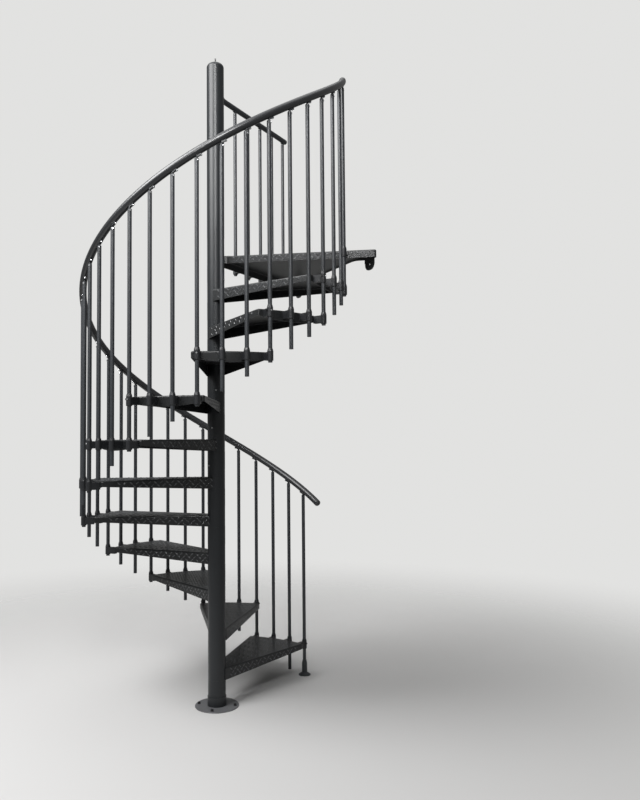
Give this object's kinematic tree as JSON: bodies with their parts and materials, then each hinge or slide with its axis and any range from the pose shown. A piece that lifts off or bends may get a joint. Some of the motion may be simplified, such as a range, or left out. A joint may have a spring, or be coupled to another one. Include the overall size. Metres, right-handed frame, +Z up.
{
  "type": "spiral staircase",
  "caption": "Steel spiral staircase of folded wedge treads on a centre column, with slim balusters, a helical handrail and a landing.",
  "frame": {"origin": "centre of the column on the base plate's underside", "axes": "+Z up along the column; +X outward through the middle of the landing to the slab it meets; +Y a quarter turn counter-clockwise seen from above; the flight climbs counter-clockwise"},
  "size_m": [1.637, 1.602, 3.92],
  "materials": {
    "tread_coat": "matt anthracite powder coat with a fine grain",
    "column_coat": "satin anthracite powder coat",
    "base_coat": "satin mid-grey powder coat",
    "baluster_coat": "matt anthracite powder coat",
    "clamp_plastic": "matt dark grey moulded plastic",
    "handrail_plastic": "smooth satin dark grey plastic",
    "zinc_rod": "zinc-plated steel"
  },
  "bodies": {
    "root": {"base_plate": "base_coat", "tie_rod": "zinc_rod", "column_spacers": "column_coat", "column_top": "column_coat", "column_cap": "column_coat", "tread_01": "tread_coat", "tread_02": "tread_coat", "tread_03": "tread_coat", "tread_04": "tread_coat", "tread_05": "tread_coat", "tread_06": "tread_coat", "tread_07": "tread_coat", "tread_08": "tread_coat", "tread_09": "tread_coat", "tread_10": "tread_coat", "tread_11": "tread_coat", "landing": "tread_coat", "slab_brackets": "tread_coat", "balusters_01": "baluster_coat", "balusters_02": "baluster_coat", "balusters_03": "baluster_coat", "balusters_04": "baluster_coat", "balusters_05": "baluster_coat", "balusters_06": "baluster_coat", "balusters_07": "baluster_coat", "balusters_08": "baluster_coat", "balusters_09": "baluster_coat", "balusters_10": "baluster_coat", "balusters_11": "baluster_coat", "top_baluster": "baluster_coat", "landing_balusters": "baluster_coat", "baluster_plugs": "clamp_plastic", "baluster_clamps": "clamp_plastic", "baluster_foot": "baluster_coat", "handrail_1": "handrail_plastic", "handrail_2": "handrail_plastic", "handrail_3": "handrail_plastic", "handrail_4": "handrail_plastic", "handrail_end_caps": "handrail_plastic", "rail_stems": "baluster_coat", "landing_rail": "baluster_coat", "landing_rail_bracket": "baluster_coat"}
  },
  "joints": []
}
